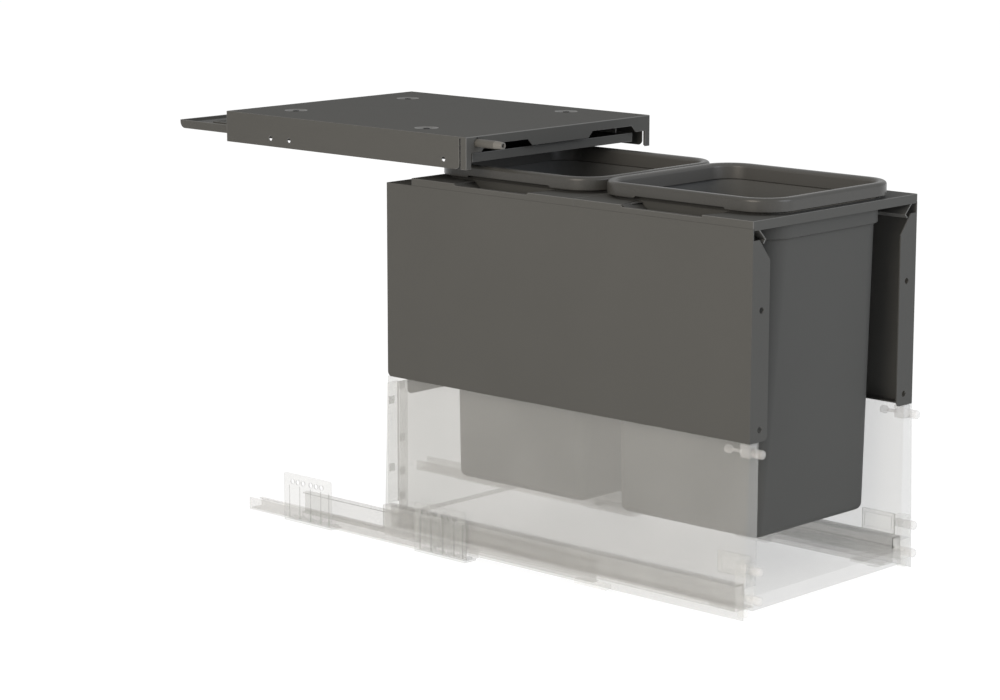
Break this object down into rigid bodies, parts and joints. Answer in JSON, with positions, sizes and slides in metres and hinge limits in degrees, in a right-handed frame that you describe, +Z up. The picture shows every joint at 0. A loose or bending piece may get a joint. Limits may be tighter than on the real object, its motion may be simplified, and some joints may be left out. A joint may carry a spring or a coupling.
{
  "type": "pull out bin frame",
  "caption": "Steel bin frame on a drawer with telescopic runners: bins with bag rings hang in its top, and a lid above them drops when a push rod is pressed.",
  "frame": {"origin": "middle of the width and depth at the lowest point, the underside of the wall brackets", "axes": "+X to the right seen from the front, +Y from the drawer's front into the cabinet, +Z up"},
  "size_m": [0.318, 0.9254, 0.4931],
  "materials": {
    "frame_paint": "satin",
    "bin_plastic": "satin",
    "rod_plastic": "satin",
    "tip_plastic": "satin",
    "gear_steel": "satin",
    "clear_fittings": "clear",
    "clear_boards": "clear",
    "clear_rails": "galvanised",
    "cage_plastic": "clear"
  },
  "bodies": {
    "cabinet_side": {"lid_carrier": "frame_paint", "guide_posts": "gear_steel", "post_screws": "gear_steel", "plunger_guide": "bin_plastic", "guide_studs": "gear_steel", "cabinet_rail_left": "clear_rails", "cabinet_rail_right": "clear_rails", "bracket_front_left": "clear_fittings", "bracket_front_right": "clear_fittings", "bracket_rear_left": "clear_fittings", "bracket_rear_right": "clear_fittings"},
    "drawer": {"drawer_rail_left": "clear_rails", "drawer_rail_right": "clear_rails", "drawer_side_left": "clear_fittings", "drawer_side_right": "clear_fittings", "drawer_bottom": "clear_boards", "drawer_back": "clear_boards", "back_holder_left": "clear_fittings", "back_holder_right": "clear_fittings", "front_fixing_left": "clear_fittings", "front_fixing_right": "clear_fittings", "front_dowels": "clear_fittings", "upper_fixings": "clear_fittings", "fixing_cover_left": "clear_fittings", "fixing_cover_right": "clear_fittings", "catch_left": "clear_fittings", "catch_right": "clear_fittings", "frame_panel_left": "frame_paint", "frame_panel_right": "frame_paint", "frame_back": "frame_paint", "back_screws": "frame_paint", "top_frame_front": "frame_paint", "top_frame_rear": "frame_paint"},
    "middle_left": {"middle_rail_left": "clear_rails", "middle_block_left": "clear_fittings"},
    "middle_right": {"middle_rail_right": "clear_rails", "middle_block_right": "clear_fittings"},
    "low_cage_left": {"lower_cage_left": "cage_plastic", "lower_rollers_left": "cage_plastic"},
    "low_cage_right": {"lower_cage_right": "cage_plastic", "lower_rollers_right": "cage_plastic"},
    "up_cage_left": {"upper_cage_left": "cage_plastic", "upper_rollers_left": "cage_plastic"},
    "up_cage_right": {"upper_cage_right": "cage_plastic", "upper_rollers_right": "cage_plastic"},
    "front_bin": {"front_bin": "bin_plastic"},
    "rear_bin": {"rear_bin": "bin_plastic"},
    "front_ring": {"front_bag_ring": "bin_plastic"},
    "rear_ring": {"rear_bag_ring": "bin_plastic"},
    "pan": {"lid_pan": "frame_paint", "cam_pins": "gear_steel"},
    "push_slide": {"plunger": "rod_plastic", "plunger_tip": "tip_plastic", "cam_slide": "gear_steel"}
  },
  "joints": [
    {"name": "drawer_slide", "type": "slide", "parent": "cabinet_side", "child": "drawer", "axis": [0, -1, 0], "range_m": [-0.4, 0.14]},
    {"name": "middle_left_slide", "type": "slide", "parent": "cabinet_side", "child": "middle_left", "axis": [0, -1, 0], "range_m": [-0.2, 0.07]},
    {"name": "low_cage_left_slide", "type": "slide", "parent": "cabinet_side", "child": "low_cage_left", "axis": [0, -1, 0], "range_m": [-0.1, 0.035]},
    {"name": "up_cage_left_slide", "type": "slide", "parent": "middle_left", "child": "up_cage_left", "axis": [0, -1, 0], "range_m": [-0.1, 0.035]},
    {"name": "middle_right_slide", "type": "slide", "parent": "cabinet_side", "child": "middle_right", "axis": [0, -1, 0], "range_m": [-0.2, 0.07]},
    {"name": "low_cage_right_slide", "type": "slide", "parent": "cabinet_side", "child": "low_cage_right", "axis": [0, -1, 0], "range_m": [-0.1, 0.035]},
    {"name": "up_cage_right_slide", "type": "slide", "parent": "middle_right", "child": "up_cage_right", "axis": [0, -1, 0], "range_m": [-0.1, 0.035]},
    {"name": "front_bin_lift", "type": "slide", "parent": "drawer", "child": "front_bin", "axis": [0, 0, 1], "range_m": [0, 0.4]},
    {"name": "rear_bin_lift", "type": "slide", "parent": "drawer", "child": "rear_bin", "axis": [0, 0, 1], "range_m": [0, 0.006]},
    {"name": "front_ring_lift", "type": "slide", "parent": "front_bin", "child": "front_ring", "axis": [0, 0, 1], "range_m": [0, 0.04]},
    {"name": "rear_ring_lift", "type": "slide", "parent": "rear_bin", "child": "rear_ring", "axis": [0, 0, 1], "range_m": [0, 0.006]},
    {"name": "pan_drop", "type": "slide", "parent": "cabinet_side", "child": "pan", "axis": [0, 0, 1], "range_m": [-0.00625, 0], "stiffness_N_per_m": 1500, "springref_m": 0.025},
    {"name": "push_rod", "type": "slide", "parent": "cabinet_side", "child": "push_slide", "axis": [0, 1, 0], "range_m": [0, 0.04]}
  ],
  "couplings": [
    {"joint": "middle_left_slide", "follows": "drawer_slide", "ratio": 0.5},
    {"joint": "low_cage_left_slide", "follows": "drawer_slide", "ratio": 0.25},
    {"joint": "up_cage_left_slide", "follows": "drawer_slide", "ratio": 0.25},
    {"joint": "middle_right_slide", "follows": "drawer_slide", "ratio": 0.5},
    {"joint": "low_cage_right_slide", "follows": "drawer_slide", "ratio": 0.25},
    {"joint": "up_cage_right_slide", "follows": "drawer_slide", "ratio": 0.25},
    {"joint": "push_rod", "follows": "pan_drop", "ratio": -6.4}
  ]
}
